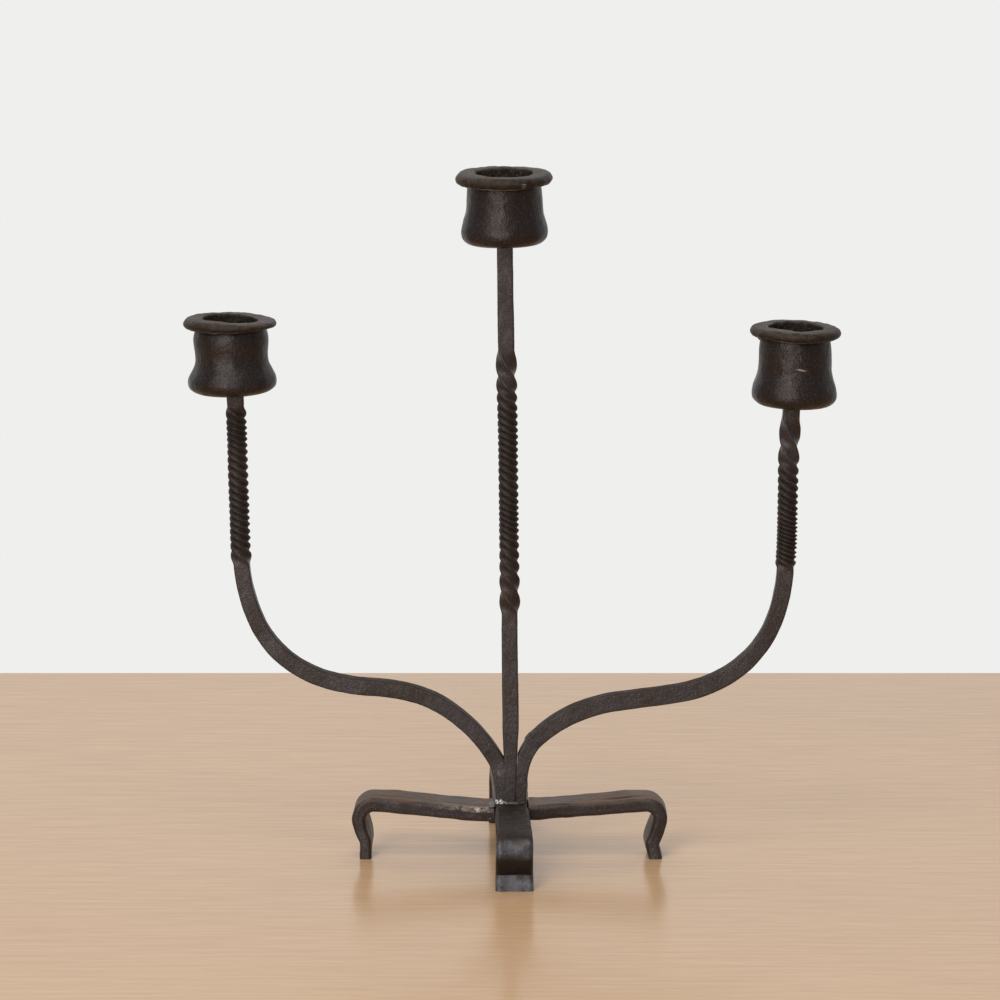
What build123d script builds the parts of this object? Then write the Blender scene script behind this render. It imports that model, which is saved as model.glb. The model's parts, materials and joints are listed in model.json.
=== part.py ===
from build123d import *
import os
from math import cos, radians, sin, tan

# A forged three-light candelabra that stands on a table, in millimetres.
#
# Frame: +X to the right of someone facing it, +Y away from them, +Z up.  The origin is on the
# table, under the crossing of the two base bars.
#
# Two flat bars cross and halve into each other, and their ends turn down as four feet.  A
# square centre bar and two square arms stand on the crossing, scarfed against each other and
# welded all round.  Each bar is twisted over part of its length and ends in a cup, held by a
# round tenon that is peened over inside.  A separate ring is brazed on top of each cup.

# ---------------------------------------------------------------- driving dimensions

# flat bars of the base
side_bar_width = 15.5        # the bar that runs left to right
cross_bar_width = 14.4       # the bar that runs front to back
strap_thickness = 5.4
strap_edge_radius = 1.0
crossing_mid_height = 19.4   # middle of both bars' thickness where they cross
knee_mid_height = 22.8       # the same where the bars turn down
front_knee_mid_height = 19.8 # the front foot's bend is lower than the other three
crossing_flat = 12.0         # from the centre to where a bar begins to rise
rise_end = 46.0              # from the centre to where the rise is over
knee_reach = 63.2            # from the centre to the corner of the knee
knee_radius = 5.6
ankle_reach = 58.3
ankle_height = 6.2
ankle_radius = 9.0
toe_reach = 58.9
rise_start_radius = 55.0
rise_end_radius = 40.0
cross_bar_skew = 1.1         # degrees that the front-to-back bar is off square
notch_clearance = 0.8        # gap beside each bar at the shoulders of its notch

# square bars
bar = 6.3
bar_corner_radius = 0.6

# foot of the three square bars, where they are scarfed together
stem_foot_width = 3.4        # width of the centre bar where it meets the base
stem_taper_length = 31.0     # height over which it thins down to that
stem_lean = 0.74             # degrees to the left

# cup seats: height of each cup's underside above the table
centre_seat_height = 249.8
left_seat_height = 190.1
right_seat_height = 185.0

# arms: each path runs from the foot over three corners and up to the cup
arm_lean = 1.7               # degrees that each upright leans outwards
arm_foot_offset = 1.9        # centre of an arm's section at its foot, before the scarf
left_arm_reach = 111.1       # from the centre to the upright's middle line at the cup seat
left_heel = (4.9, 36.8)      # corner over the foot: outward, height
left_shoulder = (23.8, 68.3)
left_elbow_height = 69.7
left_arm_radii = (20.0, 57.0, 50.5)
right_arm_reach = 112.2
right_heel = (4.1, 42.0)
right_shoulder = (21.4, 60.8)
right_elbow_height = 73.6
right_arm_radii = (27.0, 57.0, 50.5)

# twists, from the top down: (length, quarter turns); each sum of turns leaves the bar square
centre_twist = [(9.9, 1), (6.7, 1), (4.5, 1), (24.9, 9), (12.9, 4), (21.9, 8), (4.4, 1),
                (5.2, 1), (7.2, 1), (8.6, 1)]
left_twist = [(4.4, 1), (9.7, 4), (24.2, 8), (19.5, 7), (5.2, 1)]
right_twist = [(11.9, 1), (7.2, 1), (7.7, 2), (8.4, 3), (6.4, 3), (18.3, 10)]
centre_plain_top = 42.9      # plain bar between the twist and the cup
left_plain_top = 5.9
right_plain_top = 5.5

# cups
candle_bore = 22.5           # takes a standard 22 mm candle
cup_floor = 4.0
cup_foot_radius = 12.4       # flat underside
cup_bulge_radius = 17.4      # widest, where the rounded foot ends
cup_waist_radius = 15.1
cup_neck_radius = 14.4       # just under the ring
centre_cup_height = 24.6     # without the ring
left_cup_height = 26.6
right_cup_height = 28.0

# rings on the cups
centre_ring_radius = 19.4
left_ring_radius = 18.6
right_ring_radius = 18.4
centre_ring_thickness = 4.2
left_ring_thickness = 3.6
right_ring_thickness = 4.0
ring_bore_edge = 0.8         # rounding of the ring's mouth
braze_leg = 1.3              # size of the braze fillet under each ring

# tenons that hold the cups, each peened into a countersink in the cup's floor
tenon_radius = 2.0
countersink_radius = 3.6
countersink_depth = 1.6
head_recess = 0.5            # the peened head stays this far below the floor

# welds
foot_weld_leg = 1.2

# ---------------------------------------------------------------- values that follow

base_top = crossing_mid_height + strap_thickness / 2
bore_radius = candle_bore / 2
stem_length = (centre_seat_height - base_top) / cos(radians(stem_lean))
countersink_foot = cup_floor - countersink_depth
head_top = cup_floor - head_recess
head_radius = countersink_radius - head_recess * (countersink_radius - tenon_radius) / countersink_depth


def leaning_plane(x, z, lean):
    """A plane whose normal leans from upright towards +X by the given degrees."""
    tilt = radians(lean)
    return Plane(origin=(x, 0, z), x_dir=(cos(tilt), 0, -sin(tilt)), z_dir=(sin(tilt), 0, cos(tilt)))


def section_plane(seat):
    """The plane through a cup's own axis: x is the radius, y the height over its seat."""
    return Plane(origin=seat.origin, x_dir=seat.x_dir, z_dir=-seat.y_dir)


stem_foot = leaning_plane(0, base_top, -stem_lean)
centre_seat = Plane(origin=stem_foot.from_local_coords((0, 0, stem_length)),
                    x_dir=stem_foot.x_dir, z_dir=stem_foot.z_dir)
left_seat = leaning_plane(-left_arm_reach, left_seat_height, -arm_lean)
right_seat = leaning_plane(right_arm_reach, right_seat_height, arm_lean)


# ---------------------------------------------------------------- helpers


def bar_profile(plane):
    """The section of the square bar, as a face on a plane."""
    with BuildSketch(plane, mode=Mode.PRIVATE) as profile:
        RectangleRounded(bar, bar, bar_corner_radius)
    return profile.sketch.face()


def twisted_runs(seat, plain_top, runs):
    """Left-handed twists below a plain top, from the lowest up; each turn is a quarter."""
    height = -plain_top - sum(length for length, turns in runs)
    pieces = []
    for length, turns in reversed(runs):
        profile = bar_profile(Plane.XY)
        run = Solid.extrude_linear_with_rotation(profile, (0, 0, 0), (0, 0, length), -90 * turns)
        pieces.append(seat.offset(height).location * run)
        height += length
    return pieces


def countersunk_pin(seat, top, top_radius):
    """A round pin up from a cup's seat that widens in its last part to a given radius."""
    with BuildPart(mode=Mode.PRIVATE) as piece:
        with BuildSketch(section_plane(seat)):
            with BuildLine():
                Polyline((0, 0), (tenon_radius, 0), (tenon_radius, countersink_foot),
                         (top_radius, top), (0, top), close=True)
            make_face()
        revolve(axis=Axis(seat.origin, seat.z_dir))
    return piece.part


def bar_end(seat, plain_top):
    """The top of a bar: a plain length and the tenon for its cup."""
    with BuildPart(mode=Mode.PRIVATE) as piece:
        extrude(bar_profile(seat.offset(-plain_top)), amount=plain_top, dir=seat.z_dir)
        add(countersunk_pin(seat, head_top, head_radius))
    return piece.part


def join_end_to_end(pieces, seat, plain_top, runs):
    """Sew stacked lengths of one bar into a single solid, without the faces between them."""
    heights = [-plain_top]
    for length, turns in runs:
        heights.append(heights[-1] - length)
    joints = [seat.from_local_coords((0, 0, height)) for height in heights]

    def is_outside(face):
        return min((face.center() - joint).length for joint in joints) > bar_corner_radius / 2

    skin = [face for piece in pieces for face in piece.faces() if is_outside(face)]
    return Solid(Shell(skin))


def half_strap(knee_height):
    """Corners of half a base bar's middle line, from below its toe to the crossing."""
    return [(toe_reach, -strap_thickness), (ankle_reach, ankle_height), (knee_reach, knee_height),
            (rise_end, knee_height), (crossing_flat, crossing_mid_height)]


def strap_path(plane, last_knee_height):
    """Middle line of a base bar, from one toe to the other."""
    points = [(-u, z) for u, z in half_strap(knee_mid_height)] + half_strap(last_knee_height)[::-1]
    radii = [ankle_radius, knee_radius, rise_end_radius, rise_start_radius]
    with BuildLine(plane, mode=Mode.PRIVATE) as path:
        FilletPolyline(*points, radius=radii + radii[::-1])
    return path.wires()[0]


def strap(plane, width, last_knee_height):
    """A flat bar bent down at both ends, its toes cut flat where they stand on the table."""
    path = strap_path(plane, last_knee_height)
    with BuildPart(mode=Mode.PRIVATE) as piece:
        start = Plane(origin=path @ 0, x_dir=plane.z_dir, z_dir=path % 0)
        with BuildSketch(start):
            RectangleRounded(width, strap_thickness, strap_edge_radius)
        sweep(path=path)
        split(bisect_by=Plane.XY, keep=Keep.TOP)
    return piece.part


def arm_path(side, reach, seat_height, elbow_height, shoulder, heel, radii, upright):
    """Middle line of an arm from its foot to the start of its twist; side is -1 or +1."""
    slope = tan(radians(arm_lean))
    elbow = (reach - (seat_height - elbow_height) * slope, elbow_height)
    drop = upright * cos(radians(arm_lean))
    top = (reach - drop * slope, seat_height - drop)
    foot = (arm_foot_offset, base_top - bar)
    points = [(side * x, 0, z) for x, z in (foot, heel, shoulder, elbow, top)]
    with BuildLine(mode=Mode.PRIVATE) as path:
        FilletPolyline(*points, radius=radii)
    return path.wires()[0]


def flank(side):
    """The centre bar's flank on one side, where an arm is scarfed against it."""
    foot_edge = stem_foot.from_local_coords((side * stem_foot_width / 2, 0, 0))
    taper_edge = stem_foot.from_local_coords((side * bar / 2, 0, stem_taper_length))
    outward = Vector(0, side, 0).cross(taper_edge - foot_edge)
    return Plane(origin=foot_edge, x_dir=(0, 1, 0), z_dir=outward)


def arm(side, seat, plain_top, runs, sizes):
    """A square arm: scarfed foot, S-bend, twisted upright and the tenon for its cup."""
    upright = plain_top + sum(length for length, turns in runs)
    path = arm_path(side, *sizes, upright)
    with BuildPart(mode=Mode.PRIVATE) as bend:
        sweep(bar_profile(Plane(origin=path @ 0, x_dir=(0, 1, 0), z_dir=path % 0)), path=path)
        split(bisect_by=Plane.XY.offset(base_top), keep=Keep.TOP)
        split(bisect_by=flank(side), keep=Keep.TOP)
    lengths = [bend.part, *twisted_runs(seat, plain_top, runs), bar_end(seat, plain_top)]
    return join_end_to_end(lengths, seat, plain_top, runs)


def cup_body(seat, height):
    """A forged cup: rounded foot, bulge, drawn-in waist, straight candle bore."""
    with BuildPart(mode=Mode.PRIVATE) as piece:
        with BuildSketch(section_plane(seat)):
            with BuildLine():
                foot = Line((0, 0), (cup_foot_radius, 0))
                bulge = (cup_bulge_radius, cup_bulge_radius - cup_foot_radius)
                waist = (cup_waist_radius, height * 0.7)
                neck = (cup_neck_radius, height)
                TangentArc(foot @ 1, bulge, tangent=(1, 0))
                Spline(bulge, waist, neck, tangents=((0, 1), (0, 1)))
                Line(neck, (0, height))
                Line((0, height), (0, 0))
            make_face()
        revolve(axis=Axis(seat.origin, seat.z_dir))
        with BuildSketch(seat.offset(cup_floor)):
            Circle(bore_radius)
        extrude(amount=height, mode=Mode.SUBTRACT)
        # the tenon's hole, countersunk from inside the cup
        add(countersunk_pin(seat, cup_floor, countersink_radius), mode=Mode.SUBTRACT)
    return piece.part


def ring(seat, height, radius, thickness):
    """A thick flat ring with a rounded rim, flush with the candle bore, on top of a cup."""
    with BuildPart(mode=Mode.PRIVATE) as piece:
        with BuildSketch(section_plane(seat)):
            with Locations(((bore_radius + radius) / 2, height + thickness / 2)):
                outline = Rectangle(radius - bore_radius, thickness)
            rim = outline.vertices().group_by(Axis(seat.origin, seat.x_dir))[-1]
            fillet(rim, radius=thickness * 0.45)
            mouth = outline.vertices().group_by(Axis(seat.origin, seat.x_dir))[0]
            fillet(mouth.sort_by(Axis(seat.origin, seat.z_dir))[-1], radius=ring_bore_edge)
        revolve(axis=Axis(seat.origin, seat.z_dir))
    return piece.part


def braze_fillet(seat, height, cup):
    """Braze run into the corner between a cup's neck and the underside of its ring."""
    inside = (bore_radius + cup_neck_radius) / 2
    outside = cup_neck_radius + braze_leg
    with BuildPart(mode=Mode.PRIVATE) as piece:
        with BuildSketch(section_plane(seat)):
            with BuildLine():
                Polyline((outside, height), (inside, height), (inside, height - braze_leg),
                         (cup_neck_radius, height - braze_leg), close=True)
            make_face()
        revolve(axis=Axis(seat.origin, seat.z_dir))
        add(cup, mode=Mode.SUBTRACT)
    return piece.part


# ---------------------------------------------------------------- base

side_plane = Plane(origin=(0, 0, 0), x_dir=(1, 0, 0), z_dir=(0, -1, 0))
cross_direction = Vector(sin(radians(cross_bar_skew)), -cos(radians(cross_bar_skew)), 0)
cross_plane = Plane(origin=(0, 0, 0), x_dir=cross_direction, z_dir=cross_direction.cross(Vector(0, 0, 1)))

with BuildPart() as base_bar_left_right:
    add(strap(side_plane, side_bar_width, knee_mid_height))
    # notch from above, for the other bar
    with BuildSketch(Plane(origin=(0, 0, crossing_mid_height), x_dir=cross_direction, z_dir=(0, 0, 1))):
        Rectangle(2 * side_bar_width, cross_bar_width + 2 * notch_clearance)
    extrude(amount=strap_thickness, mode=Mode.SUBTRACT)

with BuildPart() as base_bar_front_back:
    add(strap(cross_plane, cross_bar_width, front_knee_mid_height))
    # notch from below, for the bar that runs left to right
    with BuildSketch(Plane.XY.offset(crossing_mid_height)):
        Rectangle(2 * cross_bar_width, side_bar_width + 2 * notch_clearance)
    extrude(amount=-strap_thickness, mode=Mode.SUBTRACT)

# ---------------------------------------------------------------- square bars

with BuildPart(mode=Mode.PRIVATE) as stem_shank:
    # plain bar up to the twist, thinned from side to side towards its foot
    shank = stem_length - centre_plain_top - sum(length for length, turns in centre_twist)
    extrude(bar_profile(stem_foot.offset(-bar)), amount=shank + bar, dir=stem_foot.z_dir)
    for side in (-1, 1):
        split(bisect_by=flank(side), keep=Keep.BOTTOM)
    split(bisect_by=Plane.XY.offset(base_top), keep=Keep.TOP)

with BuildPart() as centre_stem:
    lengths = [stem_shank.part, *twisted_runs(centre_seat, centre_plain_top, centre_twist),
               bar_end(centre_seat, centre_plain_top)]
    add(join_end_to_end(lengths, centre_seat, centre_plain_top, centre_twist))

with BuildPart() as left_arm:
    add(arm(-1, left_seat, left_plain_top, left_twist,
            (left_arm_reach, left_seat_height, left_elbow_height, left_shoulder, left_heel,
             left_arm_radii)))

with BuildPart() as right_arm:
    add(arm(1, right_seat, right_plain_top, right_twist,
            (right_arm_reach, right_seat_height, right_elbow_height, right_shoulder, right_heel,
             right_arm_radii)))

# ---------------------------------------------------------------- cups and rings

with BuildPart() as centre_cup:
    add(cup_body(centre_seat, centre_cup_height))

with BuildPart() as left_cup:
    add(cup_body(left_seat, left_cup_height))

with BuildPart() as right_cup:
    add(cup_body(right_seat, right_cup_height))

with BuildPart() as centre_ring:
    add(ring(centre_seat, centre_cup_height, centre_ring_radius, centre_ring_thickness))

with BuildPart() as left_ring:
    add(ring(left_seat, left_cup_height, left_ring_radius, left_ring_thickness))

with BuildPart() as right_ring:
    add(ring(right_seat, right_cup_height, right_ring_radius, right_ring_thickness))

with BuildPart() as centre_ring_braze:
    add(braze_fillet(centre_seat, centre_cup_height, centre_cup.part))

with BuildPart() as left_ring_braze:
    add(braze_fillet(left_seat, left_cup_height, left_cup.part))

with BuildPart() as right_ring_braze:
    add(braze_fillet(right_seat, right_cup_height, right_cup.part))

# ---------------------------------------------------------------- welds

with BuildPart() as stem_foot_weld:
    # a sloping bead round the three bars where they stand on the base
    arms_at_foot = 2 * arm_foot_offset + bar
    with BuildSketch(Plane.XY.offset(base_top)):
        RectangleRounded(arms_at_foot + 2 * foot_weld_leg, bar + 2 * foot_weld_leg, foot_weld_leg)
    extrude(amount=foot_weld_leg, taper=40)
    add(centre_stem.part, mode=Mode.SUBTRACT)
    add(left_arm.part, mode=Mode.SUBTRACT)
    add(right_arm.part, mode=Mode.SUBTRACT)

# ---------------------------------------------------------------- export

pieces = {
    "base_bar_left_right": base_bar_left_right,
    "base_bar_front_back": base_bar_front_back,
    "centre_stem": centre_stem,
    "left_arm": left_arm,
    "right_arm": right_arm,
    "centre_cup": centre_cup,
    "left_cup": left_cup,
    "right_cup": right_cup,
    "centre_ring": centre_ring,
    "left_ring": left_ring,
    "right_ring": right_ring,
    "centre_ring_braze": centre_ring_braze,
    "left_ring_braze": left_ring_braze,
    "right_ring_braze": right_ring_braze,
    "stem_foot_weld": stem_foot_weld,
}

os.makedirs("parts", exist_ok=True)
for name, piece in pieces.items():
    piece.part.label = name
    export_step(piece.part, f"parts/{name}.step")
    print(name, round(piece.part.volume, 1), "mm3")
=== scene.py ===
# %% [markdown]
# # A forged three-light candelabra
#
# This lesson dresses a finished engineering model of a small iron candelabra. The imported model
# already has every bar, cup and ring in its true place, so nothing is fitted by eye here. Each
# piece is built again as a surface worked out with numpy, with the hammer marks, uneven rings
# and welds that a smith leaves, and then it takes the place of its engineering solid.

# %% Load the frame
import json

import bpy
import numpy as np
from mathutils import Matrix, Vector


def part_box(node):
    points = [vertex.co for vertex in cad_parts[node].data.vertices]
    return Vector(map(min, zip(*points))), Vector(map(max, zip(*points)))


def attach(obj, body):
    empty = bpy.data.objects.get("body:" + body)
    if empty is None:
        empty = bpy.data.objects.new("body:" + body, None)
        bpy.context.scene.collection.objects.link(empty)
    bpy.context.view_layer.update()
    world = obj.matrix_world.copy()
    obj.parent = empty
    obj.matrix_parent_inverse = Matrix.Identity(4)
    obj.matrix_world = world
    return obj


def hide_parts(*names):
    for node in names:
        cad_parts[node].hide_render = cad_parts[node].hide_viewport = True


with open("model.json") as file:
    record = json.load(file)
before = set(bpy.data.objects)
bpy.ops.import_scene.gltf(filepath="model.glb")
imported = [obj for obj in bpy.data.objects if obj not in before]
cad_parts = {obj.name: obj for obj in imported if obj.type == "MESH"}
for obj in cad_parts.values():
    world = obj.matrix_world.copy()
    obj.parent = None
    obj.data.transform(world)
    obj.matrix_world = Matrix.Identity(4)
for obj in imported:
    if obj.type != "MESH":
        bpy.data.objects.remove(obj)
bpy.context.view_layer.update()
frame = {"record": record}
MM = 0.001
scene = bpy.context.scene

# %% [markdown]
# ## Camera
#
# The piece is seen from about ten degrees above the table and from a good two metres away, with
# a long lens, so its uprights stay parallel. The camera looks along +Y and is only pitched down.

# %% Camera
CAMERA_PITCH = 9.857
camera = bpy.data.objects.new("camera", bpy.data.cameras.new("camera"))
scene.collection.objects.link(camera)
camera.location = (-4.65 * MM, -2100 * MM, 511.4 * MM)
camera.rotation_euler = (np.radians(90 - CAMERA_PITCH), 0, 0)
camera.data.sensor_width = 36
camera.data.lens = 190.98
camera.data.clip_end = 50
scene.camera = camera
print("camera", tuple(round(v, 3) for v in camera.location))

# %% [markdown]
# ## Shader formulas
#
# A finish could be wired up node by node, but it is easier to read and to change as a formula
# than as a web of nodes. `Link` wraps one output socket and turns `+`, `-` and `*` into Math nodes.
# `Finish` owns the material: its `node` method adds any node, first its settings and then its
# sockets, `mix` blends two colours and `coats` lays several over one another.


# %% Formulas on sockets
class Link:
    """One output of a shader node, with arithmetic."""

    def __init__(self, finish, socket):
        self.finish, self.socket = finish, socket

    def math(self, operation, a, b):
        """A Math node on two numbers or links."""
        return self.finish.node("ShaderNodeMath", {"operation": operation}, {0: a, 1: b})

    def __add__(self, other):
        return self.math("ADD", self, other)

    def __sub__(self, other):
        return self.math("SUBTRACT", self, other)

    def __rsub__(self, other):
        return self.math("SUBTRACT", other, self)

    def __mul__(self, other):
        return self.math("MULTIPLY", self, other)

    __radd__, __rmul__ = __add__, __mul__

    def ease(self, low, high):
        """0 below low, 1 above high, and a smooth rise between them."""
        return self.finish.node("ShaderNodeMapRange", {"interpolation_type": "SMOOTHSTEP"},
                                {"Value": self, "From Min": low, "From Max": high})


class Finish:
    """A material with a Principled shader, built up by formulas."""

    def __init__(self, name):
        self.material = bpy.data.materials.new(name)
        self.material.use_nodes = True
        self.tree = self.material.node_tree
        self.shader = self.tree.nodes["Principled BSDF"]
        self.place = self.node("ShaderNodeTexCoord", {}, {}, "Object")

    def node(self, kind, settings, sockets, out=0):
        """Adds a node: its settings first, then its sockets; returns one of its outputs."""
        made = self.tree.nodes.new(kind)
        for key, value in settings.items():
            setattr(made, key, value)
        for key, value in sockets.items():
            self.put(made.inputs[key], value)
        return Link(self, made.outputs[out])

    def put(self, socket, value):
        """Links a formula into a socket, or sets a plain value on it."""
        if isinstance(value, Link):
            self.tree.links.new(value.socket, socket)
        else:
            socket.default_value = value

    def mix(self, factor, a, b):
        """Colour a where the factor is 0, colour b where it is 1, and a blend between."""
        return self.node("ShaderNodeMix", {"data_type": "RGBA"}, {0: factor, 6: a, 7: b}, 2)

    def coats(self, colour, *coats):
        """A colour with others laid over it in turn, each through its own mask."""
        for mask, paint in coats:
            colour = self.mix(mask, colour, paint)
        return colour

    def noise(self, size_mm, detail=3.0, rough=0.5, stretch=None):
        """Clouds about size_mm across, between 0 and 1; stretch scales x, y and z first."""
        place = self.place
        if stretch:
            place = self.node("ShaderNodeMapping", {}, {"Vector": place, "Scale": stretch})
        return self.node("ShaderNodeTexNoise", {}, {"Vector": place, "Scale": 1 / (size_mm * MM),
                                                    "Detail": detail, "Roughness": rough})

    def bump(self, height, strength, depth_mm):
        """A surface normal tilted by the slope of a height that is depth_mm from 0 to 1."""
        return self.node("ShaderNodeBump", {},
                         {"Strength": strength, "Distance": depth_mm * MM, "Height": height})

    def mark(self, name):
        """A number that the mesh carries at each point."""
        return self.node("ShaderNodeAttribute", {"attribute_name": name}, {}, "Fac")

    def wear(self, sockets):
        """Puts values and formulas on the shader's own sockets and returns the material."""
        for key, value in sockets.items():
            self.put(self.shader.inputs[key], value)
        return self.material


print("formula helpers ready")

# %% [markdown]
# ## Skins from grids of points
#
# Blender's own bars and lathes would be too regular for forged iron, and a sculpted mesh can't be
# remade. So every piece here is one closed skin over a grid of points from a formula. Row `i` of
# the grid is a ring of points, and each ring joins round to its own first point. A bar's ends are
# closed with a fan of triangles; a ring or a bead has no ends, so its last row joins its first.
# The sign of the enclosed volume tells whether the faces point outwards, and they are turned
# round if they don't.


# %% Grid to mesh
def shape_faces(rows, around, looped):
    """Quads between neighbouring rings, and for an open run two fans whose hubs come last."""
    last = rows if looped else rows - 1
    i, j = np.meshgrid(np.arange(last), np.arange(around), indexing="ij")
    k, after = (j + 1) % around, (i + 1) % rows
    quads = np.stack([i * around + j, i * around + k, after * around + k, after * around + j], -1)
    if looped:
        return quads.reshape(-1, 4), np.zeros((0, 3), int)
    ring = np.arange(around)
    turn, hub = np.roll(ring, -1), rows * around
    far = (rows - 1) * around
    fans = np.concatenate([np.stack([ring, np.full(around, hub), turn], -1),
                           np.stack([far + ring, far + turn, np.full(around, hub + 1)], -1)])
    return quads.reshape(-1, 4), fans


def skin(name, rings, marks=None, looped=False, sharp=50, stands_for=()):
    """A piece from rings (rows, around, 3) in mm, its marks stored as point attributes."""
    rows, around = rings.shape[:2]
    quads, fans = shape_faces(rows, around, looped)
    hubs = np.zeros((0, 3)) if looped else rings[[0, -1]].mean(1)
    points = np.vstack([rings.reshape(-1, 3), hubs])
    triangles = np.vstack([quads[:, :3], quads[:, [0, 2, 3]], fans])
    a, b, c = (points[triangles[:, k]] for k in range(3))
    volume = np.einsum("ij,ij->", a, np.cross(b, c)) / 6
    if volume < 0:
        quads, fans = quads[:, ::-1], fans[:, ::-1]
    mesh = bpy.data.meshes.new(name)
    mesh.from_pydata((points * MM).tolist(), [], quads.tolist() + fans.tolist())
    mesh.polygons.foreach_set("use_smooth", np.ones(len(mesh.polygons), bool))
    mesh.set_sharp_from_angle(angle=np.radians(sharp))
    for key, values in (marks or {}).items():
        flat = np.broadcast_to(values, (rows, around)).reshape(-1)
        flat = np.concatenate([flat, np.zeros(len(hubs))]).astype(np.float32)
        mesh.attributes.new(key, "FLOAT", "POINT").data.foreach_set("value", flat)
    piece = bpy.data.objects.new(name, mesh)
    scene.collection.objects.link(piece)
    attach(piece, "root")
    if stands_for:
        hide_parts(*stands_for)
    print(f"{name}: {len(triangles)} triangles, {abs(volume):.0f} mm3")
    return piece


print("a run of 3 rings of 4 points has", len(shape_faces(3, 4, False)[0]), "quads and two fans")

# %% [markdown]
# ## Marks of the hammer
#
# Forged iron is never quite flat. Two formulas give that. `ripple` adds up a few waves that run
# in random directions, for slow unevenness. `hammer` scatters shallow round dents: the height
# of a point is the square of its distance to the nearest dent's middle, so that neighbouring
# dents meet in soft ridges, as planishing marks do.


# %% Unevenness
def bell(x, middle, width):
    """1 at the middle, falling to 0.61 at one width away on either side."""
    return np.exp(-0.5 * ((x - middle) / width) ** 2)


def unit(vectors):
    """The same directions with a length of 1."""
    return vectors / np.linalg.norm(vectors, axis=-1, keepdims=True)


def ripple(points, size, seed, waves=12):
    """Sum of cosines with random directions and lengths near size; about -1 to 1."""
    rng = np.random.default_rng(seed)
    way = unit(rng.normal(size=(waves, 3)))
    length = size * rng.uniform(0.7, 1.9, waves)
    phase = rng.uniform(0, 2 * np.pi, waves)
    total = np.zeros(points.shape[:-1])
    for k in range(waves):
        total += np.cos(points @ (way[k] * 2 * np.pi / length[k]) + phase[k])
    return total / np.sqrt(2 * waves)


def hammer(points, size, seed, spread=0.35):
    """0 in the middle of each dent and 1 on the ridges; dents are about size apart."""
    rng = np.random.default_rng(seed)
    low, high = points.reshape(-1, 3).min(0) - size, points.reshape(-1, 3).max(0) + size
    cells = [np.arange(a, b, size) for a, b in zip(low, high)]
    middles = np.stack(np.meshgrid(*cells, indexing="ij"), -1).reshape(-1, 3)
    middles = middles + rng.normal(scale=spread * size, size=middles.shape)
    sample = points.reshape(-1, 3)[::7]
    near = np.array([((sample - m) ** 2).sum(1).min() for m in middles]) < (0.9 * size) ** 2
    nearest = np.full(points.shape[:-1], np.inf)
    for m in middles[near]:
        nearest = np.minimum(nearest, ((points - m) ** 2).sum(-1))
    return np.clip(nearest / (0.6 * size) ** 2, 0, 1.4)


def outward(rings, looped=False):
    """Unit normals of the skin, from the differences along and around the grid."""
    along = np.roll(rings, -1, 0) - np.roll(rings, 1, 0) if looped else np.gradient(rings, axis=0)
    around = np.roll(rings, -1, 1) - np.roll(rings, 1, 1)
    normal = np.cross(around, along)
    normal /= np.linalg.norm(normal, axis=-1, keepdims=True) + 1e-9
    if ((rings - rings.mean(1, keepdims=True)) * normal).sum() < 0:
        normal = -normal
    return normal


print("a dent at 0, 0.5 and 1 width from its middle:", bell(np.array([0, 0.5, 1]), 0, 1).round(2))

# %% [markdown]
# ## A bar's section and its path
#
# A square or flat bar is a rectangle with rounded corners, carried along its middle line. The
# section is kept as two lists: which corner each point belongs to, and in which direction it
# leans out from that corner's centre. Width, thickness and rounding can then change from row to
# row, which is how a forged bar behaves. The path is a run of straight lines with arcs in its
# corners, measured off at the rows that are asked for.


# %% Sections and paths
def section(across, deep, corner):
    """Corner signs, lean directions and nearness to a corner's middle, anticlockwise."""
    signs, leans = [], []
    corners = [(1, -1, -90), (1, 1, 0), (-1, 1, 90), (-1, -1, 180)]
    for n, (x, y, start) in enumerate(corners):
        angle = np.radians(start + np.linspace(0, 90, corner + 1))
        signs.append(np.tile([x, y], (corner + 1, 1)).astype(float))
        leans.append(np.stack([np.cos(angle), np.sin(angle)], -1))
        x2, y2 = corners[(n + 1) % 4][:2]
        steps = deep if n % 2 == 0 else across
        share = np.linspace(0, 1, steps + 1)[1:-1, None]
        signs.append((1 - share) * [x, y] + share * [x2, y2])
        leans.append(np.tile([np.cos(angle[-1]), np.sin(angle[-1])], (steps - 1, 1)))
    signs, leans = np.vstack(signs), np.vstack(leans)
    return signs, leans, np.abs(leans[:, 0] * leans[:, 1]) * 2 * (np.abs(signs).min(1) > 0.99)


def rounded_box(signs, leans, wide, deep, radius):
    """Section points for each row's width, depth and corner radius."""
    half = np.stack([wide, deep], -1)[:, None] / 2
    return signs * (half - radius) + leans * radius


def turned(flat, angle):
    """Section points turned by each row's angle, as distances across and up."""
    cos, sin = np.cos(angle)[:, None], np.sin(angle)[:, None]
    return flat[..., 0] * cos - flat[..., 1] * sin, flat[..., 0] * sin + flat[..., 1] * cos


def rounded_path(points, radii, step=0.25):
    """Points along straight runs whose corners are arcs of the given radii."""
    points = [np.array(p, float) for p in points]
    trail = [points[0][None]]
    for before, here, after, radius in zip(points, points[1:], points[2:], radii):
        come, go = unit(here - before), unit(after - here)
        half = np.arccos(np.clip(come @ go, -1, 1)) / 2
        cut = radius * np.tan(half)
        inward, ahead = unit(go - come), unit(come + go)
        centre = here + inward * radius / np.cos(half)
        swing = np.linspace(-half, half, max(4, int(2 * half * radius / step)))[:, None]
        trail.append(centre + radius * (np.sin(swing) * ahead - np.cos(swing) * inward))
    trail.append(points[-1][None])
    trail = np.vstack(trail)
    gaps = np.linalg.norm(np.diff(trail, axis=0), axis=1)
    keep = np.concatenate([[True], gaps > 1e-6])
    return trail[keep], np.concatenate([[0], np.cumsum(gaps)])[keep]


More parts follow.
